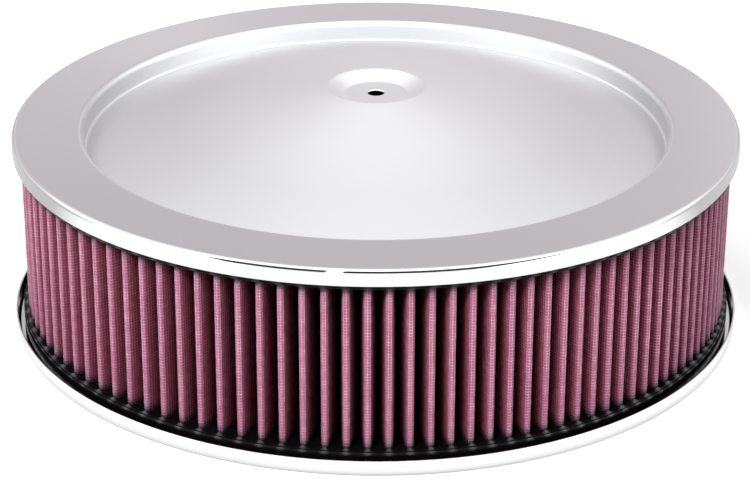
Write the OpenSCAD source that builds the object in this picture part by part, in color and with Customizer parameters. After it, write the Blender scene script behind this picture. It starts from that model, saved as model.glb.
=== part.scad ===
// Round open-element air cleaner for a carburetor: two pressed steel covers
// with a pleated cotton ring clamped between them.
// The axis of the ring is Z, the base stands on Z = 0, all sizes in millimetres.

/* [Covers] */
// Thickness of the steel sheet of both covers
sheet_t = 0.9; // [0.6:0.1:1.6]
// Outside diameter of the lid over its lip
lid_d = 355.6; // [320:0.2:400]
// Height of the lid's lip, from its cut edge to the flat ring on top
lid_lip_h = 7.6; // [6:0.1:12]
// Outside bend between the lid's lip and its flat ring
lid_shoulder_bend = 2.2; // [2:0.1:5]

/* [Lid crown] */
// Gap between the seal's inner face and the edge of the lid's recess
lid_recess_gap = 6; // [1:0.1:8]
// Bend that rolls the flat ring over into the recess wall
lid_recess_bend = 3; // [2:0.1:9]
// Depth of the recess below the flat ring
lid_recess_depth = 11; // [9.5:0.1:15]
// How far the recess wall leans inward on its way down
lid_recess_lean = 0.5; // [0.2:0.1:3]
// Inside bend at the foot of the recess wall
lid_crease_bend = 1.2; // [0.5:0.1:2]
// Rise of the crown from the foot of the recess to the brim of the dimple
lid_crown_rise = 28.4; // [15:0.1:40]
// How far the crown bows out above a straight cone
lid_crown_bow = 1.7; // [0:0.1:3]
// Diameter of the dimple over its brim
dimple_d = 47.4; // [38:0.2:60]
// Diameter of the dimple's flat floor
dimple_floor_d = 30.6; // [22:0.2:34]
// Depth of the dimple below its brim
dimple_depth = 4; // [2:0.1:6]
// Bend at the brim and at the floor of the dimple
dimple_bend = 2; // [1:0.1:2.5]
// Diameter of the hole that the carburetor's stud passes through
stud_hole_d = 8.4; // [6:0.1:12]

/* [Base] */
// How far the base's rim stands out beyond the lid
rim_overhang = 2.6; // [0.5:0.1:5]
// Height of the base's rim
rim_h = 7.8; // [5:0.1:10]
// How far the rim flares outward on its way up
rim_flare = 0.8; // [0.5:0.1:2.4]
// Outside bend between the base's floor and its rim
rim_bend = 1.8; // [1.5:0.1:3.6]
// Gap between the seal's inner face and the foot of the raised middle
plateau_gap = 2.4; // [0.5:0.1:6]
// Height that the middle of the base is raised by
plateau_h = 12; // [9:0.5:16]
// How far the wall of the raised middle leans inward
plateau_lean = 4; // [1:0.5:8]
// Outside bend at the foot and at the top of the raised middle's wall
plateau_bend = 3; // [1.5:0.1:4]
// Bore of the turned-down neck that fits over the carburetor's air horn
neck_d = 130.2; // [60:0.1:140]
// Gap between the neck's lower edge and the surface that the base stands on
neck_gap = 1; // [0.5:0.1:3]
// Outside bend where the raised middle turns down into the neck
neck_bend = 2.5; // [1.2:0.1:4]

/* [Element] */
// Height of the filter element between the base's floor and the lid's ring
element_h = 97.8; // [60:0.2:150]
// Clearance between the lid's lip and the top seal
seal_fit = 0.5; // [0.3:0.1:1]
// Width of each seal from its inner to its outer face
seal_w = 24; // [18:0.2:32]
// Height of each seal
seal_h = 9.2; // [8:0.2:16]
// Chamfer on the corners of each seal
seal_chamfer = 3; // [2.8:0.1:4]
// Chamfer where each seal's faces meet the land that holds the pleats
land_chamfer = 0.8; // [0.3:0.1:1]

/* [Pleats] */
// Number of pleats around the ring
pleat_count = 115; // [80:1:125]
// Distance from the seal's outer face in to the pleats' tips
pleat_tip_inset = 2.4; // [1.6:0.1:4]
// Distance from the seal's inner face out to the pleats' roots
pleat_root_inset = 2; // [1.6:0.1:4]
// Width of each fold over the outside of the pack
fold_w = 3.4; // [3.2:0.1:3.8]
// How far the pleats crowd together towards +X, in degrees
pleat_crowding = 8.3; // [0:0.1:9]
// Direction of the first pleat, in degrees
pleat_turn = -9.4; // [-30:0.1:30]
// Thickness of the wire screen on the outside of the pleats
outer_screen_t = 0.3; // [0.2:0.05:0.4]
// Thickness of the layered cotton gauze
gauze_t = 0.95; // [0.8:0.05:1]
// Thickness of the wire screen on the inside of the pleats
inner_screen_t = 0.25; // [0.15:0.05:0.3]

/* [Hidden] */

// Steps around the axis, and the largest turn of one facet in a bend
ROUND = 144;
BEND_STEP = 18;
CROWN_STEPS = 10;

lid_r = lid_d / 2;
rim_r = lid_r + rim_overhang;
neck_r = neck_d / 2;

// Heights, from the ground up
floor_z = sheet_t;
lower_land_z = floor_z + seal_h;
ring_under_z = floor_z + element_h;
upper_land_z = ring_under_z - seal_h;
ring_top_z = ring_under_z + sheet_t;
crease_z = ring_top_z - lid_recess_depth;
brim_z = crease_z + lid_crown_rise;

// Radii of the element, from the lip inward
seal_out_r = lid_r - sheet_t - seal_fit;
seal_in_r = seal_out_r - seal_w;
tip_r = seal_out_r - pleat_tip_inset;
root_r = seal_in_r + pleat_root_inset;
pack_t = outer_screen_t + gauze_t + inner_screen_t;

// Radii of the covers' steps
recess_wall_r = seal_in_r - lid_recess_gap - lid_recess_bend;
crease_r = recess_wall_r - lid_recess_lean;
plateau_foot_r = seal_in_r - plateau_gap;
plateau_top_r = plateau_foot_r - plateau_lean;

// Pressed sheet
// A path lists [radius, height, bend radius] for each corner of one face of the
// sheet. The other face lies a thickness to the left of the path, or to the
// right of it where the thickness is negative.

function flat(p) = [p[0], p[1]];
function heading(a, b) = (flat(b) - flat(a)) / norm(flat(b) - flat(a));
function left_of(d) = [-d[1], d[0]];
function turned(v, a) = [v[0] * cos(a) - v[1] * sin(a), v[0] * sin(a) + v[1] * cos(a)];

// Corner i of the path, moved sideways by t
function moved(path, i, t) =
    let (last = len(path) - 1,
         n1 = left_of(heading(path[max(i - 1, 0)], path[max(i, 1)])),
         n2 = left_of(heading(path[min(i, last - 1)], path[min(i + 1, last)])))
    flat(path[i]) + t * (n1 + n2) / (1 + n1 * n2);

// Points that round corner i of the path moved sideways by t
function rounded(path, i, t) =
    let (q = moved(path, i, t),
         d1 = heading(path[i - 1], path[i]),
         d2 = heading(path[i], path[i + 1]),
         side = cross(d1, d2) > 0 ? 1 : -1,
         bend = path[i][2] == 0 ? 0 : path[i][2] - side * t,
         turn = acos(min(1, d1 * d2)),
         centre = q - d1 * bend * tan(turn / 2) + left_of(d1) * side * bend,
         steps = ceil(turn / BEND_STEP))
    bend <= 0 ? [q] :
    [for (k = [0 : steps]) centre + turned(-left_of(d1) * side * bend, side * turn * k / steps)];

function face(path, t) =
    let (last = len(path) - 1)
    concat([moved(path, 0, t)],
           [for (i = [1 : last - 1]) each rounded(path, i, t)],
           [moved(path, last, t)]);

function reversed(list) = [for (i = [len(list) - 1 : -1 : 0]) list[i]];

module pressed_sheet(path, t)
    rotate_extrude($fn = ROUND)
        polygon(concat(face(path, 0), reversed(face(path, t))));

// Lid, drawn by its upper face from the lip's edge to the stud hole
module lid() {
    dimple_r = dimple_d / 2;
    crown = [for (k = [1 : CROWN_STEPS - 1])
        let (u = k / CROWN_STEPS)
        [crease_r + u * (dimple_r - crease_r),
         crease_z + u * lid_crown_rise + 4 * lid_crown_bow * u * (1 - u), 0]];
    path = concat(
        [[lid_r, ring_top_z - lid_lip_h, 0],
         [lid_r, ring_top_z, lid_shoulder_bend],
         [recess_wall_r, ring_top_z, lid_recess_bend],
         [crease_r, crease_z, lid_crease_bend]],
        crown,
        [[dimple_r, brim_z, dimple_bend],
         [dimple_floor_d / 2, brim_z - dimple_depth, dimple_bend],
         [stud_hole_d / 2, brim_z - dimple_depth, 0]]);
    color("#d4d6da") pressed_sheet(path, sheet_t);
}

// Base pan, drawn by its lower face from the rim's edge to the neck's edge
module base_pan() {
    collar_r = neck_r + sheet_t;
    path = [
        [rim_r, rim_h, 0],
        [rim_r - rim_flare, 0, rim_bend],
        [plateau_foot_r, 0, plateau_bend],
        [plateau_top_r, plateau_h, plateau_bend],
        [collar_r, plateau_h, neck_bend],
        [collar_r, neck_gap, 0]];
    color("#c9cbd0") pressed_sheet(path, -sheet_t);
}

// Moulded seal ring that the ends of the pleats are potted in.
// It rises from z = 0, and the pleats stand on the land at z = seal_h.
module seal_ring() {
    section = [
        [seal_in_r + seal_chamfer, 0],
        [seal_out_r - seal_chamfer, 0],
        [seal_out_r, seal_chamfer],
        [seal_out_r, seal_h - land_chamfer],
        [seal_out_r - land_chamfer, seal_h],
        [seal_in_r + land_chamfer, seal_h],
        [seal_in_r, seal_h - land_chamfer],
        [seal_in_r, seal_chamfer]];
    rotate_extrude($fn = ROUND) polygon(section);
}

module bottom_seal() color("#141416") translate([0, 0, floor_z]) seal_ring();

module top_seal() color("#1a1a1c") translate([0, 0, ring_under_z]) mirror([0, 0, 1]) seal_ring();

// Pleats
// The pack is one folded strip of three layers. Each face between two layers is
// the same zigzag, taken at its own depth below the outside of the pack.

function pleat_at(i) =
    let (even = 360 * i / pleat_count - 90)
    pleat_turn + even - pleat_crowding * sin(even);

function on_ring(r, direction, aside) =
    let (a = direction + aside / r * 180 / PI)
    [r * cos(a), r * sin(a)];

// One pleat: the flat of its outer fold, then the flat of the inner fold after it
function pleat(i, depth) =
    let (crest = pleat_at(i),
         valley = (crest + pleat_at(i + 1)) / 2,
         crest_half = fold_w / 2 - depth,
         valley_half = fold_w / 2 - pack_t + depth,
         valley_r = root_r + pack_t - depth)
    [on_ring(tip_r - depth, crest, -crest_half),
     on_ring(tip_r - depth, crest, crest_half),
     on_ring(valley_r, valley, -valley_half),
     on_ring(valley_r, valley, valley_half)];

module zigzag(depth) polygon([for (i = [0 : pleat_count - 1]) each pleat(i, depth)]);

module pleated_layer(outer_depth, inner_depth)
    translate([0, 0, lower_land_z])
        linear_extrude(height = upper_land_z - lower_land_z)
            difference() {
                zigzag(outer_depth);
                zigzag(inner_depth);
            }

module outer_screen() color("#b0607c") pleated_layer(0, outer_screen_t);

module gauze_media() color("#8e2848") pleated_layer(outer_screen_t, outer_screen_t + gauze_t);

module inner_screen() color("#a85874") pleated_layer(outer_screen_t + gauze_t, pack_t);

lid();
base_pan();
top_seal();
bottom_seal();
outer_screen();
gauze_media();
inner_screen();
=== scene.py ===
import math

import bpy
import numpy as np
from mathutils import Matrix, Vector
from mathutils.kdtree import KDTree


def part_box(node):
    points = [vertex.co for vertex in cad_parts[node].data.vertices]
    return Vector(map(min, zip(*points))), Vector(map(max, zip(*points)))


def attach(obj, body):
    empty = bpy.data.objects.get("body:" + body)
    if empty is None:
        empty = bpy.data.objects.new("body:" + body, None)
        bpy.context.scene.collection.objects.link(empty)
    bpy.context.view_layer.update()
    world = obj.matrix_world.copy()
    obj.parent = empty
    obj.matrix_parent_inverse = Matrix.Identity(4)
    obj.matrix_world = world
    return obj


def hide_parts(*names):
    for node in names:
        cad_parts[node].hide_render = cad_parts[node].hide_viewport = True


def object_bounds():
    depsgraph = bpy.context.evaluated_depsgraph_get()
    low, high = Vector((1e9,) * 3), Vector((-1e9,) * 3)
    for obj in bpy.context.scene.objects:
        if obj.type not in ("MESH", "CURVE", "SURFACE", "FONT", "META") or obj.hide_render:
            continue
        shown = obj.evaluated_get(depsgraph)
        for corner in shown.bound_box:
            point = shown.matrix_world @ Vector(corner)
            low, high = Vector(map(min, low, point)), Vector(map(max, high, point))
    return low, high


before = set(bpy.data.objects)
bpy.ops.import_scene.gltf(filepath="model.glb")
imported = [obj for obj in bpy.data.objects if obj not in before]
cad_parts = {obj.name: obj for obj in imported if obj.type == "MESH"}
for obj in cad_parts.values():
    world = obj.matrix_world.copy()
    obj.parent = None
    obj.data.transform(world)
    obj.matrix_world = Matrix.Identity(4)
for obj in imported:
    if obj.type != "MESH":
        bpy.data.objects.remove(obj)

CAD_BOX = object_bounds()
MM = 0.001


# Sizes, in metres. The heights of the seals are read from the frame

SEAL_LOW, SEAL_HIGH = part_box("bottom_seal")
TOP_SEAL_LOW, TOP_SEAL_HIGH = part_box("top_seal")

SHEET = 0.9 * MM
LID_R = 177.8 * MM
RING_UNDER_Z = TOP_SEAL_HIGH.z
RING_TOP_Z = RING_UNDER_Z + SHEET
LIP_H = 7.6 * MM
LIP_BEND = 2.2 * MM
RECESS_WALL_R = 143.4 * MM
RECESS_BEND = 3 * MM
RECESS_DEPTH = 11 * MM
RECESS_LEAN = 0.5 * MM
CREASE_BEND = 1.2 * MM
CROWN_RISE = 28.4 * MM
CROWN_BOW = 1.7 * MM
DIMPLE_R = 23.7 * MM
DIMPLE_FLOOR_R = 15.3 * MM
DIMPLE_DEPTH = 4 * MM
DIMPLE_BEND = 2 * MM
STUD_HOLE_R = 4.2 * MM

RIM_R = LID_R + 2.6 * MM
RIM_H = 7.8 * MM
RIM_FLARE = 0.8 * MM
RIM_BEND = 1.8 * MM
PLATEAU_FOOT_R = 150 * MM
PLATEAU_TOP_R = 146 * MM
PLATEAU_H = 12 * MM
PLATEAU_BEND = 3 * MM
NECK_R = 65.1 * MM
NECK_GAP = 1 * MM
NECK_BEND = 2.5 * MM

FLOOR_Z = SEAL_LOW.z
LOWER_LAND_Z = SEAL_HIGH.z
UPPER_LAND_Z = TOP_SEAL_LOW.z
SEAL_OUT_R = 176.4 * MM
SEAL_IN_R = 152.4 * MM
SEAL_H = LOWER_LAND_Z - FLOOR_Z

TIP_R = 174 * MM
ROOT_R = 154.4 * MM
FOLD_R = 1.7 * MM
PACK_T = 1.5 * MM
SCREEN_T = 0.3 * MM
GAUZE_T = 0.95 * MM
PLEATS = 115
PLEAT_TURN = -9.4
PLEAT_CROWDING = 8.3
POTTED = 1.5 * MM

WIRE_PITCH = 1.42 * MM
WIRE_R = 0.13 * MM


# Fineness of the meshes

AROUND = 440
BEND_STEP = math.radians(7)
CROWN_STEPS = 30
LONGEST_RUN = 12 * MM
CREST_STEPS = 8
ROOT_STEPS = 4
SEAL_STEPS = 12
TREE_STEPS = 16


# Camera, at the photograph's viewpoint

CAMERA_AT = (-0.0003, -1.14491, 0.54935)
CAMERA_TILT = math.radians(90 - 24.28)
CAMERA_ROLL = math.radians(0.154)
CAMERA_LENS = 120
CAMERA_SENSOR = 36
CAMERA_REACH = 50


def link_object(name, data):
    thing = bpy.data.objects.new(name, data)
    bpy.context.scene.collection.objects.link(thing)
    return thing


def make_camera():
    data = bpy.data.cameras.new("camera")
    data.sensor_width = CAMERA_SENSOR
    data.lens = CAMERA_LENS
    data.clip_end = CAMERA_REACH
    camera = link_object("camera", data)
    turn = Matrix.Rotation(CAMERA_TILT, 4, "X") @ Matrix.Rotation(CAMERA_ROLL, 4, "Z")
    camera.matrix_world = Matrix.Translation(CAMERA_AT) @ turn
    bpy.context.scene.camera = camera


# Node helpers

def new_material(name):
    material = bpy.data.materials.new(name)
    material.use_nodes = True
    tree = material.node_tree
    return material, tree, tree.nodes["Principled BSDF"]


def add(tree, kind, **values):
    node = tree.nodes.new(kind)
    for key, value in values.items():
        setattr(node, key, value)
    return node


def axes_of(tree, kind):
    """The x, y and z of one kind of texture coordinate."""
    axes = add(tree, "ShaderNodeSeparateXYZ")
    tree.links.new(add(tree, "ShaderNodeTexCoord").outputs[kind], axes.inputs[0])
    return axes.outputs


def math_node(tree, operation, a, b=None, clamp=False):
    node = add(tree, "ShaderNodeMath", operation=operation, use_clamp=clamp)
    for socket, value in zip(node.inputs, (a, b)):
        if value is None:
            continue
        if isinstance(value, (int, float)):
            socket.default_value = value
        else:
            tree.links.new(value, socket)
    return node.outputs[0]


def times(tree, a, b):
    return math_node(tree, "MULTIPLY", a, b)


def one_plus(tree, value, share=1.0):
    return math_node(tree, "ADD", times(tree, value, share), 1.0)


def square_sum(tree, a, b):
    return math_node(tree, "ADD", times(tree, a, a), times(tree, b, b))


def span(tree, value, start, end):
    """0 at start and before it, 1 at end and past it."""
    past = math_node(tree, "SUBTRACT", value, start)
    return math_node(tree, "DIVIDE", past, end - start, clamp=True)


def ramp(tree, value, stops, interpolation="LINEAR"):
    node = add(tree, "ShaderNodeValToRGB")
    tree.links.new(value, node.inputs["Fac"])
    elements = node.color_ramp.elements
    node.color_ramp.interpolation = interpolation
    while len(elements) > 1:
        elements.remove(elements[-1])
    for i, (at, level) in enumerate(stops):
        element = elements[0] if i == 0 else elements.new(at)
        element.position = at
        colour = level if isinstance(level, tuple) else (level, level, level)
        element.color = (*colour, 1)
    return node.outputs["Color"]


def multiplied(tree, a, b):
    """The product of two colours."""
    mix = add(tree, "ShaderNodeMix", data_type="RGBA", blend_type="MULTIPLY")
    mix.inputs["Factor"].default_value = 1.0
    tree.links.new(a, mix.inputs["A"])
    tree.links.new(b, mix.inputs["B"])
    return mix.outputs["Result"]


def mixed(tree, share, first, second):
    """The first shader where share is 0, the second where it is 1."""
    mix = add(tree, "ShaderNodeMixShader")
    for value, socket in zip((share, first, second), mix.inputs):
        tree.links.new(value, socket)
    return mix.outputs[0]


def emission(tree, strength):
    node = add(tree, "ShaderNodeEmission")
    tree.links.new(strength, node.inputs["Strength"])
    return node.outputs[0]


def noise(tree, scale, place, detail=3, roughness=0.6):
    node = add(tree, "ShaderNodeTexNoise")
    node.inputs["Scale"].default_value = scale
    node.inputs["Detail"].default_value = detail
    node.inputs["Roughness"].default_value = roughness
    tree.links.new(place, node.inputs["Vector"])
    return node.outputs["Fac"]


def bump(tree, shader, height, distance):
    """Relief where the height is 0 to 1, as deep as the distance."""
    node = add(tree, "ShaderNodeBump")
    node.inputs["Distance"].default_value = distance
    node.inputs["Strength"].default_value = 1.0
    tree.links.new(height, node.inputs["Height"])
    tree.links.new(node.outputs["Normal"], shader.inputs["Normal"])


# World and studio

# Light level over the top of the studio, by angle: 0 at the horizon behind the object,
# 90 overhead, 180 at the horizon on the viewer's side
BACKDROP = [
    (-12, 0.95), (0, 0.92), (10, 0.90), (17, 0.84), (23, 0.775), (33, 0.80), (40, 1.05),
    (46, 1.33), (57, 1.38), (64, 1.65), (90, 1.9), (120, 2.3), (172, 2.3)]
# The tint of the backdrop and of the lights above it
BACKDROP_TINT = [
    (0, (1.02, 0.975, 1.015)), (35, (1.02, 0.975, 1.015)), (50, (0.99, 0.995, 1.01)),
    (172, (0.99, 1.0, 1.01))]
# How the level changes from the left of the backdrop to the right, low and higher up
SIDEWAYS = [
    (-0.5, 0.95), (-0.3, 1.10), (-0.2, 1.06), (-0.16, 0.92), (0, 0.93), (0.12, 0.98),
    (0.155, 1.12), (0.3, 1.12), (0.5, 1.0)]
SIDEWAYS_HIGH = [
    (-0.5, 0.85), (-0.35, 0.85), (-0.22, 0.92), (-0.1, 1.02), (0.1, 1.02), (0.22, 0.93),
    (0.35, 0.87), (0.5, 0.85)]
# The angles between which the higher one takes over, and between which both fade out
HIGHER_UP = [(32, 0.0), (45, 1.0)]
FADE_OUT = [(60, 1.0), (95, 0.0)]
# A ramp holds levels up to 1, so the levels above are divided by one of these, which none
# of them reaches, and what the ramp gives is multiplied by it again
BACKDROP_MOST = 2.5
TINT_MOST = 1.25
SIDEWAYS_MOST = 2

# By the x and z of the direction: the backdrop darkens at its left and right towards the
# horizon, is brighter far out at both sides, and has a soft light patch at the left
CORNER_X = (0.12, 0.24)
CORNER_Z = (0.27, 0.11)
CORNER_DARKENING = 0.4
FAR_X = (0.42, 0.67)
FAR_GAIN = 0.45
PATCH_AT = (-0.085, 0.335)
PATCH_SIZE = (0.04, 0.022)
PATCH_GAIN = 0.26

AMBIENT = 0.28
WHITE = (1, 1, 1, 1)


def by_angle(tree, share, stops, most=1, interpolation="LINEAR"):
    """A ramp over the top of the studio."""
    divided = []
    for angle, level in stops:
        level = tuple(c / most for c in level) if isinstance(level, tuple) else level / most
        divided.append((0.5 + angle / 360, level))
    return ramp(tree, share, divided, interpolation)


def by_side(tree, x, stops):
    """A ramp from the left of the studio to its right."""
    place = math_node(tree, "ADD", x, 0.5, clamp=True)
    return ramp(tree, place, [(0.5 + at, value / SIDEWAYS_MOST) for at, value in stops], "CARDINAL")


def studio_light(tree):
    """Colour and strength of the studio by direction."""
    x, y, z = axes_of(tree, "Generated")
    over = math_node(tree, "ARCTAN2", z, y)
    share = math_node(tree, "ADD", times(tree, over, 0.5 / math.pi), 0.5)
    level = by_angle(tree, share, BACKDROP, BACKDROP_MOST, "CARDINAL")
    tint = by_angle(tree, share, BACKDROP_TINT, TINT_MOST)
    colour = multiplied(tree, times(tree, level, BACKDROP_MOST), tint)

    low = by_side(tree, x, SIDEWAYS)
    high = by_side(tree, x, SIDEWAYS_HIGH)
    higher = times(tree, math_node(tree, "SUBTRACT", high, low), by_angle(tree, share, HIGHER_UP))
    side = times(tree, math_node(tree, "ADD", low, higher), SIDEWAYS_MOST)
    change = times(tree, math_node(tree, "SUBTRACT", side, 1), by_angle(tree, share, FADE_OUT))
    strength = times(tree, one_plus(tree, change), TINT_MOST)

    outward = math_node(tree, "ABSOLUTE", x)
    corners = times(tree, span(tree, outward, *CORNER_X), span(tree, z, *CORNER_Z))
    strength = times(tree, strength, one_plus(tree, corners, -CORNER_DARKENING))
    strength = times(tree, strength, one_plus(tree, span(tree, outward, *FAR_X), FAR_GAIN))
    dx = math_node(tree, "DIVIDE", math_node(tree, "SUBTRACT", x, PATCH_AT[0]), PATCH_SIZE[0])
    dz = math_node(tree, "DIVIDE", math_node(tree, "SUBTRACT", z, PATCH_AT[1]), PATCH_SIZE[1])
    patch = math_node(tree, "DIVIDE", 1.0, one_plus(tree, square_sum(tree, dx, dz)))
    return colour, times(tree, strength, one_plus(tree, patch, PATCH_GAIN))


def background(tree, strength):
    node = add(tree, "ShaderNodeBackground")
    node.inputs["Color"].default_value = WHITE
    node.inputs["Strength"].default_value = strength
    return node


def make_world():
    """Reflections see the studio, matt surfaces an even light and the camera white."""
    world = bpy.data.worlds.new("studio")
    bpy.context.scene.world = world
    world.use_nodes = True
    tree = world.node_tree
    tree.nodes.clear()
    colour, strength = studio_light(tree)
    studio = background(tree, 1.0)
    tree.links.new(colour, studio.inputs["Color"])
    tree.links.new(strength, studio.inputs["Strength"])
    path = add(tree, "ShaderNodeLightPath")
    plain = background(tree, AMBIENT).outputs[0]
    seen = mixed(tree, path.outputs["Is Glossy Ray"], plain, studio.outputs[0])
    white = background(tree, 1.0).outputs[0]
    seen = mixed(tree, path.outputs["Is Camera Ray"], seen, white)
    out = add(tree, "ShaderNodeOutputWorld")
    tree.links.new(seen, out.inputs["Surface"])


# Name, place, width and watts of each lamp
LAMPS = [
    ("key", (-0.75, -1.5, 1.8), 0.8, 52),
    ("fill", (0.5, -1.6, 1.9), 0.8, 8),
    ("top", (0, 0.2, 2.4), 1.8, 30)]
LAMP_TARGET = (0, 0, 0.05)


def make_lamp(name, at, width, watts):
    data = bpy.data.lights.new(name, "AREA")
    data.shape = "DISK"
    data.size = width
    data.energy = watts
    lamp = link_object(name, data)
    away = Vector(at) - Vector(LAMP_TARGET)
    lamp.matrix_world = Matrix.Translation(at) @ away.to_track_quat("Z", "Y").to_matrix().to_4x4()
    lamp.visible_glossy = False


FLOOR_REACH = 6.0
FLOOR_DROP = 0.1 * MM
FLOOR_GREY = (0.9, 0.9, 0.9, 1)
FLOOR_LIFT = 0.3
# Level of the floor in reflections, from half a metre in front of the axis to as far behind; the
# lower level behind the axis is a painted shadow of the object
MIRRORED_FLOOR = [(0.0, 1.0), (0.43, 1.0), (0.51, 0.53), (0.7, 0.51), (1.0, 0.62)]
MIRRORED_STRENGTH = 1.52
# Radii between which the floor's painted shade under the base, seen in reflections, goes from dark
# to none
FLOOR_EDGE = (RIM_R - 4 * MM, RIM_R + 1 * MM)


def make_floor():
    """The camera sees the floor lifted to white, with its shadow. Chrome sees it whiter on
    the viewer's side than behind the object, a painted shadow, and dark under the base, painted
    shade."""
    mesh = bpy.data.meshes.new("floor")
    reach = FLOOR_REACH
    corners = [(-reach, -reach, 0), (reach, -reach, 0), (reach, reach, 0), (-reach, reach, 0)]
    mesh.from_pydata(corners, [], [(0, 1, 2, 3)])
    floor = link_object("floor", mesh)
    floor.location.z = CAD_BOX[0][2] - FLOOR_DROP
    material, tree, shader = new_material("floor_white")
    shader.inputs["Base Color"].default_value = FLOOR_GREY
    shader.inputs["Roughness"].default_value = 0.9
    shader.inputs["Specular IOR Level"].default_value = 0.0
    path = add(tree, "ShaderNodeLightPath")
    lift = times(tree, path.outputs["Is Camera Ray"], FLOOR_LIFT)
    lifted = add(tree, "ShaderNodeAddShader")
    tree.links.new(shader.outputs[0], lifted.inputs[0])
    tree.links.new(emission(tree, lift), lifted.inputs[1])
    x, y, _ = axes_of(tree, "Object")
    mirrored = ramp(tree, math_node(tree, "ADD", y, 0.5, clamp=True), MIRRORED_FLOOR)
    r = math_node(tree, "SQRT", square_sum(tree, x, y))
    # Painted shade under the base, seen only in reflections
    open_floor = ramp(tree, r, list(zip(FLOOR_EDGE, (0.0, 1.0))))
    glow = times(tree, times(tree, mirrored, MIRRORED_STRENGTH), open_floor)
    seen = mixed(tree, path.outputs["Is Glossy Ray"], lifted.outputs[0], emission(tree, glow))
    tree.links.new(seen, tree.nodes["Material Output"].inputs["Surface"])
    mesh.materials.append(material)


# The strip's half height by the angle from the viewer's direction, with a gap in it
CARD = [
    (-42, 0.0), (-36, 0.12), (-29, 0.18), (-27, 0.6), (-24, 1.0), (-7.9, 1.0), (-7.8, 0.0),
    (-5.2, 0.0), (-5.1, 1.0), (16, 1.0), (26, 0.65), (36, 0.2), (41, 0.0)]
CARD_R = 200 * MM
CARD_Z = 120 * MM
CARD_HALF = 17 * MM
CARD_BLACK = (0.01, 0.01, 0.01, 1)


def make_card():
    """A narrow dark strip low in front of the lid. Only reflections see it."""
    points = []
    for angle, half in CARD:
        at = math.radians(-90 + angle)
        x, y = CARD_R * math.cos(at), CARD_R * math.sin(at)
        points += [(x, y, CARD_Z - half * CARD_HALF), (x, y, CARD_Z + half * CARD_HALF)]
    faces = [(2 * k, 2 * k + 2, 2 * k + 3, 2 * k + 1) for k in range(len(CARD) - 1)]
    mesh = bpy.data.meshes.new("card")
    mesh.from_pydata(points, [], faces)
    card = link_object("card", mesh)
    material, _, shader = new_material("card_black")
    shader.inputs["Base Color"].default_value = CARD_BLACK
    mesh.materials.append(material)
    card.visible_camera = False
    card.visible_diffuse = False
    card.visible_shadow = False
    card.visible_transmission = False


# Materials

def distance_to_axis(tree):
    """The distance to the object's axis, and the height."""
    x, y, z = axes_of(tree, "Object")
    return math_node(tree, "SQRT", square_sum(tree, x, y)), z


CHROME = (0.66, 0.66, 0.667)
PLATE_ROUGHNESS = 0.05
HAZE = 0.05
HAZE_SCALE = 14
GRAIN_SCALE = 900
GRAIN_H = 0.002 * MM
SATIN = 0.30
SATIN_INSIDE = RECESS_WALL_R + 0.7 * RECESS_BEND
SATIN_EDGE = 1.5 * MM
# Painted light on the lid's base colour, by radius in millimetres: lighter towards the middle, a
# painted highlight, and a little darker next to the crease, painted shade
CROWN_PAINTED_LIGHT = [(16, 1.18), (60, 1.10), (100, 0.98), (138, 0.95), (144, 1.0)]
CROWN_PAINTED_LIGHT_REACH = 200


def chrome(name, satin=False):
    """Bright chrome. The lid's is satin inside the recess, with painted light in its base colour.
    """
    material, tree, shader = new_material(name)
    shader.inputs["Base Color"].default_value = (*CHROME, 1)
    shader.inputs["Metallic"].default_value = 1.0
    place = add(tree, "ShaderNodeTexCoord").outputs["Object"]
    haze = times(tree, noise(tree, HAZE_SCALE, place), HAZE)
    level = math_node(tree, "ADD", haze, PLATE_ROUGHNESS)
    if satin:
        r, _ = distance_to_axis(tree)
        inside = span(tree, r, SATIN_INSIDE, SATIN_INSIDE - SATIN_EDGE)
        level = math_node(tree, "ADD", level, times(tree, inside, SATIN))
        # Painted highlight towards the middle of the lid and painted shade next to the crease
        stops = [(at / CROWN_PAINTED_LIGHT_REACH, tuple(c * value for c in CHROME)) for at, value in CROWN_PAINTED_LIGHT]
        painted_light = ramp(tree, math_node(tree, "DIVIDE", r, CROWN_PAINTED_LIGHT_REACH * MM), stops)
        tree.links.new(painted_light, shader.inputs["Base Color"])
    tree.links.new(level, shader.inputs["Roughness"])
    bump(tree, shader, noise(tree, GRAIN_SCALE, place, 2, 0.5), GRAIN_H)
    return material


RUBBER = (0.0035, 0.003, 0.0035, 1)
DRY_GLOSS = 0.035
RUBBER_ROUGHNESS = 0.14
MOTTLE = 0.18
MOTTLE_SCALE = 220
SKIN_SCALE = 700
SKIN_H = 0.05 * MM


def rubber(name, gloss):
    """Black moulded rubber, glossier where its wet attribute is high."""
    material, tree, shader = new_material(name)
    shader.inputs["Base Color"].default_value = RUBBER
    wet = add(tree, "ShaderNodeAttribute", attribute_name="wet").outputs["Fac"]
    shine = math_node(tree, "ADD", times(tree, wet, gloss), DRY_GLOSS)
    tree.links.new(shine, shader.inputs["Specular IOR Level"])
    place = add(tree, "ShaderNodeTexCoord").outputs["Object"]
    mottle = times(tree, noise(tree, MOTTLE_SCALE, place), MOTTLE)
    tree.links.new(math_node(tree, "ADD", mottle, RUBBER_ROUGHNESS), shader.inputs["Roughness"])
    bump(tree, shader, noise(tree, SKIN_SCALE, place), SKIN_H)
    return material


# Painted shade by depth, from the tips of the pleats to their roots, and by height
PLEAT_SHADE = [
    (0.0, 1.0), (0.03, (0.84, 0.82, 0.84)), (0.09, (0.50, 0.36, 0.40)),
    (0.2, (0.40, 0.20, 0.24)), (0.4, (0.15, 0.06, 0.08)), (0.8, (0.01, 0.005, 0.006))]
PLEAT_ENDS = [
    (0.0, (0.10, 0.14, 0.13)), (0.02, (0.27, 0.38, 0.36)), (0.05, (0.8, 0.95, 0.93)),
    (0.075, 1.0), (0.90, 1.0), (0.95, (0.84, 0.95, 0.93)), (0.985, (0.36, 0.45, 0.43)),
    (1.0, (0.14, 0.18, 0.17))]


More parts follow.
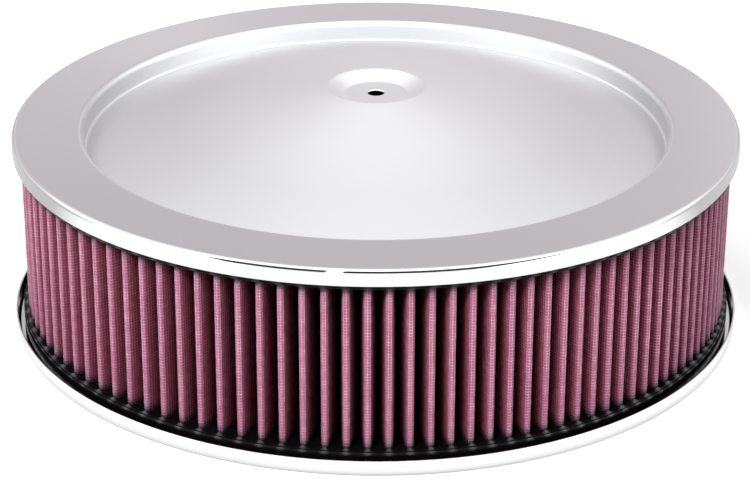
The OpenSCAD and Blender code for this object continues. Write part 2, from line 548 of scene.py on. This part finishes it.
def paint_pleat_shade(tree, shader, colour, gloss):
    """Painted shade: darker and duller deeper in towards the roots, where little light reaches,
    and at both ends, where the lid's lip and seals shade the pleats and rubber climbs the wires."""
    r, z = distance_to_axis(tree)
    into = ramp(tree, span(tree, r, TIP_R, ROOT_R), PLEAT_SHADE)
    ends = ramp(tree, span(tree, z, LOWER_LAND_Z, UPPER_LAND_Z), PLEAT_ENDS)
    shade = multiplied(tree, into, ends)
    tree.links.new(multiplied(tree, colour, shade), shader.inputs["Base Color"])
    tree.links.new(times(tree, shade, gloss), shader.inputs["Specular IOR Level"])


# Tones of the cotton, from its darkest patches to its lightest
COTTON = [(0.15, (0.30, 0.06, 0.12)), (0.5, (0.50, 0.145, 0.25)), (0.85, (0.64, 0.25, 0.36))]
COTTON_GLOSS = 0.25
COTTON_ROUGHNESS = 0.7
COTTON_RELIEF = 0.12 * MM
THREAD_PITCH = 0.55 * MM
# Shares of the weave, the fuzz and the stains in the cotton's tone
WEAVE = 0.1
FUZZ = 0.5
FUZZ_SCALE = 2600
STAIN = 0.45
STAIN_SCALE = 60


def gauze(name):
    """Oiled red cotton with an open weave."""
    material, tree, shader = new_material(name)
    place = add(tree, "ShaderNodeUVMap").outputs["UV"]
    axes = add(tree, "ShaderNodeSeparateXYZ")
    tree.links.new(place, axes.inputs[0])
    across, along = (
        math_node(tree, "SINE", times(tree, length, 2 * math.pi / THREAD_PITCH))
        for length in axes.outputs[:2])
    weave = times(tree, times(tree, across, along), WEAVE)
    fuzz = times(tree, noise(tree, FUZZ_SCALE, place), FUZZ)
    stain = times(tree, noise(tree, STAIN_SCALE, place), STAIN)
    tone = math_node(tree, "ADD", math_node(tree, "ADD", weave, fuzz), stain)
    # Painted shade deeper in the pleats and at their ends
    paint_pleat_shade(tree, shader, ramp(tree, tone, COTTON), COTTON_GLOSS)
    shader.inputs["Roughness"].default_value = COTTON_ROUGHNESS
    bump(tree, shader, tone, COTTON_RELIEF)
    return material


# Tones of the coated wire, from its darkest patches to its lightest
COATING = [(0.3, (0.54, 0.26, 0.35)), (0.55, (0.68, 0.44, 0.53)), (0.75, (0.79, 0.63, 0.70))]
COATING_SCALE = 320
COATING_GLOSS = 0.35
COATING_METAL = 0.1
COATING_ROUGHNESS = 0.4


def wire(name):
    """Coated aluminium wire, stained pink by the oil that wets it."""
    material, tree, shader = new_material(name)
    place = add(tree, "ShaderNodeTexCoord").outputs["Object"]
    coat = ramp(tree, noise(tree, COATING_SCALE, place), COATING)
    # Painted shade deeper in the pleats and at their ends
    paint_pleat_shade(tree, shader, coat, COATING_GLOSS)
    shader.inputs["Metallic"].default_value = COATING_METAL
    shader.inputs["Roughness"].default_value = COATING_ROUGHNESS
    return material


# Mesh helpers

def link_mesh(name, points, faces, material, crease=40):
    """A smooth piece that rides on the root. Edges sharper than the crease angle stay sharp."""
    mesh = bpy.data.meshes.new(name)
    mesh.from_pydata(points, [], faces)
    mesh.materials.append(material)
    mesh.shade_smooth()
    mesh.set_sharp_from_angle(angle=math.radians(crease))
    mesh.update()
    piece = link_object(name, mesh)
    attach(piece, "root")
    return piece


def unit(v):
    return v / np.hypot(*v)


def left_of(v):
    return np.array([-v[1], v[0]])


def turned(v, angle):
    c, s = math.cos(angle), math.sin(angle)
    return np.array([v[0] * c - v[1] * s, v[0] * s + v[1] * c])


def face_points(path, t):
    """The points of one face of a sheet: the path's corners rounded by their bends,
    moved to the left by t. A path lists (radius, height, bend) for each corner."""
    corners = [np.array(p[:2]) for p in path]
    headings = [unit(b - a) for a, b in zip(corners, corners[1:])]
    points = [corners[0] + t * left_of(headings[0])]
    for i in range(1, len(path) - 1):
        d1, d2 = headings[i - 1], headings[i]
        n1, n2 = left_of(d1), left_of(d2)
        corner = corners[i] + t * (n1 + n2) / (1 + n1 @ n2)
        side = 1 if d1[0] * d2[1] - d1[1] * d2[0] > 0 else -1
        bend = path[i][2] - side * t if path[i][2] else 0
        if bend <= 0:
            points.append(corner)
            continue
        turn = math.acos(min(1, d1 @ d2))
        centre = corner - d1 * bend * math.tan(turn / 2) + n1 * side * bend
        steps = max(2, math.ceil(turn / BEND_STEP))
        for k in range(steps + 1):
            points.append(centre + turned(-n1 * side * bend, side * turn * k / steps))
    points.append(corners[-1] + t * left_of(headings[-1]))
    return points


EDGE_LOOP = 0.15 * MM
LONG_RUN = 4.5 * MM
EDGE_BULGE = 0.2 * SHEET


def subdivided(points):
    """Adds points on the long straight runs, and close to their ends so that the flat
    faces keep their own normals next to a bend."""
    result = [points[0]]
    for a, b in zip(points, points[1:]):
        length = np.hypot(*(b - a))
        at = np.linspace(0, 1, max(1, math.ceil(length / LONGEST_RUN)) + 1)
        if length > LONG_RUN:
            at = np.unique(np.concatenate([at, [EDGE_LOOP / length, 1 - EDGE_LOOP / length]]))
        result += [a + (b - a) * u for u in at[1:]]
    return result


def softened_edge(a, b, bulge):
    """The cut edge of a sheet from a to b, with a slight round."""
    middle = (a + b) / 2
    out = left_of(unit(b - a))
    quarter = (b - a) / 4
    return [middle - quarter - out * bulge, middle + quarter - out * bulge]


def pressed_sheet(name, path, t, material):
    """A round sheet whose one face follows the path, with the other at t to its left."""
    near = face_points(path, 0)
    far = face_points(path, t)
    bulge = math.copysign(EDGE_BULGE, t)
    profile = subdivided(near)
    profile += softened_edge(near[-1], far[-1], bulge)
    profile += subdivided(far[::-1])
    profile += softened_edge(far[0], near[0], bulge)
    return lathe(name, profile, material)


def lathe(name, profile, material):
    """A closed profile of radii and heights, turned round the axis."""
    angles = np.linspace(0, 2 * math.pi, AROUND, endpoint=False)
    r, z = np.array(profile).T
    points = np.stack([
        np.outer(np.cos(angles), r),
        np.outer(np.sin(angles), r),
        np.tile(z, (AROUND, 1))], -1).reshape(-1, 3)
    return link_mesh(name, points.tolist(), ring_faces(AROUND, len(profile)), material)


def ring_faces(around, count):
    """Faces of a closed ring of points, with as many closed profiles as around says and
    count points in each."""
    return quads(around, around, count).tolist()


def quads(rings, spans, count):
    """Corners of the faces between neighbouring rings of count points, for the first spans
    of the rings. The last ring is followed by the first."""
    ring = np.arange(spans)[:, None]
    here = ring * count
    ahead = (ring + 1) % rings * count
    point = np.arange(count)[None, :]
    beside = (point + 1) % count
    faces = [here + point, ahead + point, ahead + beside, here + beside]
    return np.stack(faces, -1).reshape(-1, 4)


# Covers

# One more ring close to each end of the crown keeps its shading next to the bends
CROWN_END = 0.02


def make_lid(material):
    crease_r = RECESS_WALL_R - RECESS_LEAN
    crease_z = RING_TOP_Z - RECESS_DEPTH
    brim_z = crease_z + CROWN_RISE
    crown = []
    for u in [CROWN_END, *(k / CROWN_STEPS for k in range(1, CROWN_STEPS)), 1 - CROWN_END]:
        bow = 4 * CROWN_BOW * u * (1 - u)
        crown.append((crease_r + u * (DIMPLE_R - crease_r), crease_z + u * CROWN_RISE + bow, 0))
    path = [
        (LID_R, RING_TOP_Z - LIP_H, 0),
        (LID_R, RING_TOP_Z, LIP_BEND),
        (RECESS_WALL_R, RING_TOP_Z, RECESS_BEND),
        (crease_r, crease_z, CREASE_BEND),
        *crown,
        (DIMPLE_R, brim_z, DIMPLE_BEND),
        (DIMPLE_FLOOR_R, brim_z - DIMPLE_DEPTH, DIMPLE_BEND),
        (STUD_HOLE_R, brim_z - DIMPLE_DEPTH, 0)]
    lid = pressed_sheet("pressed_lid", path, SHEET, material)
    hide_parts("lid")


def make_base(material):
    collar_r = NECK_R + SHEET
    path = [
        (RIM_R, RIM_H, 0),
        (RIM_R - RIM_FLARE, 0, RIM_BEND),
        (PLATEAU_FOOT_R, 0, PLATEAU_BEND),
        (PLATEAU_TOP_R, PLATEAU_H, PLATEAU_BEND),
        (collar_r, PLATEAU_H, NECK_BEND),
        (collar_r, NECK_GAP, 0)]
    base = pressed_sheet("pressed_base", path, -SHEET, material)
    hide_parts("base_pan")


# Pleats

def pleat_direction(i):
    even = 2 * math.pi * i / PLEATS - math.pi / 2
    return math.radians(PLEAT_TURN - PLEAT_CROWDING * math.sin(even)) + even


# Degrees from the middle of a fold to the flank
FOLD_TURN = 82


def fold(centre_r, direction, radius, outward, steps):
    """Half round of one fold, from its clockwise side to its other side."""
    spoke = np.array([math.cos(direction), math.sin(direction)])
    aside = left_of(spoke)
    points = []
    for k in range(steps + 1):
        a = math.radians(FOLD_TURN * (2 * k / steps - 1))
        out = centre_r + outward * radius * math.cos(a)
        points.append(spoke * out + aside * radius * math.sin(a))
    return points


def folded_path(depth, crest_steps=CREST_STEPS, root_steps=ROOT_STEPS):
    """The closed zigzag of the pack, at a depth below its outer face."""
    points = []
    for i in range(PLEATS):
        crest = pleat_direction(i)
        valley = (crest + pleat_direction(i + 1)) / 2
        points += fold(TIP_R - FOLD_R, crest, FOLD_R - depth, 1, crest_steps)
        points += fold(ROOT_R + FOLD_R, valley, FOLD_R - PACK_T + depth, -1, root_steps)
    return np.array(points)


def lengths_along(path):
    steps = np.hypot(*(np.roll(path, -1, axis=0) - path).T)
    return np.concatenate([[0], np.cumsum(steps)])


def set_uv(piece, lengths, heights):
    """u is the length along the folded strip and v the height, both in metres."""
    mesh = piece.data
    layer = mesh.uv_layers.new(name="strip")
    corner = np.empty(len(mesh.loops), np.int32)
    mesh.loops.foreach_get("vertex_index", corner)
    uv = np.stack([lengths[corner], heights[corner]], -1)
    layer.data.foreach_set("uv", uv.astype(np.float32).ravel())


PACK_LOW_Z = LOWER_LAND_Z - POTTED
PACK_HIGH_Z = UPPER_LAND_Z + POTTED
SHEET_LEVELS = 5


def make_folded_sheet(name, node, outer_depth, inner_depth, material):
    """One closed layer of the pack, between two depths below its outer face."""
    outer = folded_path(outer_depth)
    inner = folded_path(inner_depth)
    count = len(outer)
    levels = np.linspace(PACK_LOW_Z, PACK_HIGH_Z, SHEET_LEVELS)
    rows = [np.column_stack([outer, np.full(count, z)]) for z in levels]
    rows += [np.column_stack([inner, np.full(count, z)]) for z in levels[::-1]]
    grid = np.stack(rows, 1)
    points = grid.reshape(-1, 3)
    piece = link_mesh(name, points.tolist(), ring_faces(count, len(rows)), material, crease=50)
    along = np.repeat(lengths_along(outer)[:-1], len(rows))
    set_uv(piece, along, points[:, 2])
    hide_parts(node)
    return piece


def tube_rows(paths, closed, sides, radius):
    """Points and faces of thin tubes along several paths that have as many points each."""
    points, faces = [], []
    for path in paths:
        if closed:
            ahead = np.roll(path, -1, axis=0) - np.roll(path, 1, axis=0)
        else:
            ahead = np.gradient(path, axis=0)
        ahead = ahead / np.linalg.norm(ahead, axis=1)[:, None]
        up = np.array([0, 0, 1.0]) if closed else np.array([1.0, 0, 0])
        side = np.cross(ahead, up)
        side = side / np.linalg.norm(side, axis=1)[:, None]
        over = np.cross(side, ahead)
        start = sum(len(p) for p in points)
        angles = 2 * math.pi * np.arange(sides) / sides
        ring = path[:, None, :] + radius * (
            np.cos(angles)[None, :, None] * side[:, None, :]
            + np.sin(angles)[None, :, None] * over[:, None, :])
        points.append(ring.reshape(-1, 3))
        count = len(path)
        faces += (quads(count, count if closed else count - 1, sides) + start).tolist()
        if not closed:
            faces.append((np.arange(sides) + start).tolist())
            faces.append((np.arange(sides)[::-1] + start + (count - 1) * sides).tolist())
    return np.concatenate(points).tolist(), faces


# The upright wires lie a little deeper, as in a weave
UPRIGHTS_BEHIND = 0.04 * MM


def make_outer_screen(material):
    """Wires of the outer screen: those that run round the pleats, and the upright ones."""
    path = folded_path(WIRE_R, CREST_STEPS // 2, ROOT_STEPS // 2)
    rows = np.arange(PACK_LOW_Z + WIRE_PITCH / 2, PACK_HIGH_Z, WIRE_PITCH)
    half = len(rows) // 2
    pieces = []
    for name, levels in (("screen_rows_lower", rows[:half]), ("screen_rows_upper", rows[half:])):
        rings = [np.column_stack([path, np.full(len(path), z)]) for z in levels]
        points, faces = tube_rows(rings, closed=True, sides=3, radius=WIRE_R)
        pieces.append(link_mesh(name, points, faces, material, crease=180))
    smooth_path = folded_path(WIRE_R + UPRIGHTS_BEHIND)
    along = lengths_along(smooth_path)
    closed_path = np.vstack([smooth_path, smooth_path[:1]])
    count = round(along[-1] / WIRE_PITCH)
    at = (np.arange(count) + 0.5) * along[-1] / count
    xs = np.interp(at, along, closed_path[:, 0])
    ys = np.interp(at, along, closed_path[:, 1])
    posts = [np.array([[x, y, PACK_LOW_Z], [x, y, PACK_HIGH_Z]]) for x, y in zip(xs, ys)]
    points, faces = tube_rows(posts, closed=False, sides=4, radius=WIRE_R)
    pieces.append(link_mesh("screen_uprights", points, faces, material, crease=180))
    for piece in pieces:
        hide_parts("outer_screen")


# Seals

SEAL_CHAMFER = 3 * MM
# The rounded edge of a land, as pairs of the distance from the edge and the drop there
SEAL_ROUND = [(0, 0.8 * MM), (0.12 * MM, 0.4 * MM), (0.4 * MM, 0.12 * MM)]
# Rubber that climbs the pleats
MENISCUS_H = 1.1 * MM
MENISCUS_REACH = 0.55 * MM
# A low step round the outside of the pleats
STEP_H = 0.35 * MM
STEP_R = TIP_R + 0.9 * MM
STEP_SOFTNESS = 0.12 * MM
# Faint waves in front of each pleat
RIPPLE_H = 0.07 * MM
RIPPLE_W = 1.9 * MM
RIPPLE_PITCH = 0.8 * MM
# Where the rubber is glossy: close to the pleats, and in a streak in front of each
WET_REACH = 1.0 * MM
STREAK_W = 1.5 * MM


def pack_tree():
    """Points on both faces of the pack, to measure how near the rubber is to the pleats."""
    dense = []
    for path in (folded_path(0), folded_path(PACK_T)):
        ahead = np.roll(path, -1, axis=0)
        for u in np.linspace(0, 1, TREE_STEPS, endpoint=False):
            dense.append(path + (ahead - path) * u)
    dense = np.vstack(dense)
    tree = KDTree(len(dense))
    for i, (x, y) in enumerate(dense):
        tree.insert((x, y, 0), i)
    tree.balance()
    return tree


def land_profile():
    """Radii across the land of a seal, and how far its rounded edges drop at each."""
    inset, drop = np.array(SEAL_ROUND).T
    radii = np.concatenate([
        SEAL_OUT_R - inset, [SEAL_OUT_R - 0.8 * MM],
        np.linspace(SEAL_OUT_R - 1.2 * MM, TIP_R - 2 * MM, 11),
        np.linspace(TIP_R - 4 * MM, ROOT_R + 2 * MM, 9),
        np.linspace(ROOT_R + 1 * MM, SEAL_IN_R + 0.8 * MM, 4),
        (SEAL_IN_R + inset)[::-1]])
    drops = np.zeros(len(radii))
    drops[:len(drop)] = drop
    drops[-len(drop):] = drop[::-1]
    return radii, drops


def bell(value, width):
    return np.exp(-(value / width) ** 2)


def make_seal(name, node, material, tree, bottom):
    """Moulded ring, drawn with its land up. The top one is turned over."""
    directions, aside = [], []
    for i in range(PLEATS):
        a, b = pleat_direction(i), pleat_direction(i + 1)
        for k in range(SEAL_STEPS):
            directions.append(a + (b - a) * k / SEAL_STEPS)
            aside.append(min(k, SEAL_STEPS - k) / SEAL_STEPS * (b - a))
    directions, aside = np.array(directions), np.array(aside)
    columns, wet = [], []
    for r, fall in zip(*land_profile()):
        x, y = r * np.cos(directions), r * np.sin(directions)
        gap = np.array([tree.find((px, py, 0))[2] for px, py in zip(x, y)])
        height = np.full(len(directions), SEAL_H - fall)
        if fall == 0:
            outside = 1 / (1 + np.exp(-(r - STEP_R) / STEP_SOFTNESS))
            wave = np.sin((r - TIP_R) * 2 * math.pi / RIPPLE_PITCH) * (TIP_R < r)
            height += MENISCUS_H * np.exp(-gap / MENISCUS_REACH)
            height += RIPPLE_H * bell(aside * r, RIPPLE_W) * wave - STEP_H * outside
        columns.append(np.column_stack([x, y, height]))
        streak = bell(aside * r, STREAK_W) * (TIP_R - 1 * MM < r)
        wet.append(np.maximum(np.exp(-gap / WET_REACH), streak))
    under = [
        (SEAL_IN_R, SEAL_CHAMFER), (SEAL_IN_R + 0.5 * SEAL_CHAMFER, 0.35 * SEAL_CHAMFER),
        (SEAL_IN_R + SEAL_CHAMFER, 0), (SEAL_OUT_R - SEAL_CHAMFER, 0),
        (SEAL_OUT_R - 0.35 * SEAL_CHAMFER, 0.35 * SEAL_CHAMFER), (SEAL_OUT_R, SEAL_CHAMFER)]
    for r, z in under:
        x, y = r * np.cos(directions), r * np.sin(directions)
        columns.append(np.column_stack([x, y, np.full(len(directions), z)]))
        wet.append(np.zeros(len(directions)))
    grid = np.stack(columns, 1)
    if bottom:
        grid[..., 2] += FLOOR_Z
    else:
        grid[..., 2] = RING_UNDER_Z - grid[..., 2]
    faces = ring_faces(len(directions), len(columns))
    piece = link_mesh(name, grid.reshape(-1, 3).tolist(), faces, material, crease=60)
    layer = piece.data.attributes.new("wet", "FLOAT", "POINT")
    layer.data.foreach_set("value", np.stack(wet, 1).astype(np.float32).ravel())
    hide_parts(node)


# Everything

make_camera()
make_world()
make_floor()
make_card()
for lamp in LAMPS:
    make_lamp(*lamp)

LID_CHROME = chrome("lid_plate", satin=True)
BASE_CHROME = chrome("base_plate")
UPPER_RUBBER = rubber("upper_rubber", gloss=0.3)
LOWER_RUBBER = rubber("lower_rubber", gloss=0.5)
GAUZE = gauze("red_gauze")
WIRE = wire("coated_wire")

make_lid(LID_CHROME)
make_base(BASE_CHROME)
GAUZE_SHEET = make_folded_sheet(
    "folded_gauze", "gauze_media", SCREEN_T, SCREEN_T + GAUZE_T, GAUZE)
GAUZE_LENGTH = lengths_along(folded_path(SCREEN_T + GAUZE_T / 2))[-1]
make_folded_sheet(
    "folded_inner_screen", "inner_screen", SCREEN_T + GAUZE_T, PACK_T, WIRE)
make_outer_screen(WIRE)
PACK_TREE = pack_tree()
make_seal("moulded_bottom_seal", "bottom_seal", LOWER_RUBBER, PACK_TREE, bottom=True)
make_seal("moulded_top_seal", "top_seal", UPPER_RUBBER, PACK_TREE, bottom=False)

bpy.context.scene.view_settings.view_transform = "Standard"
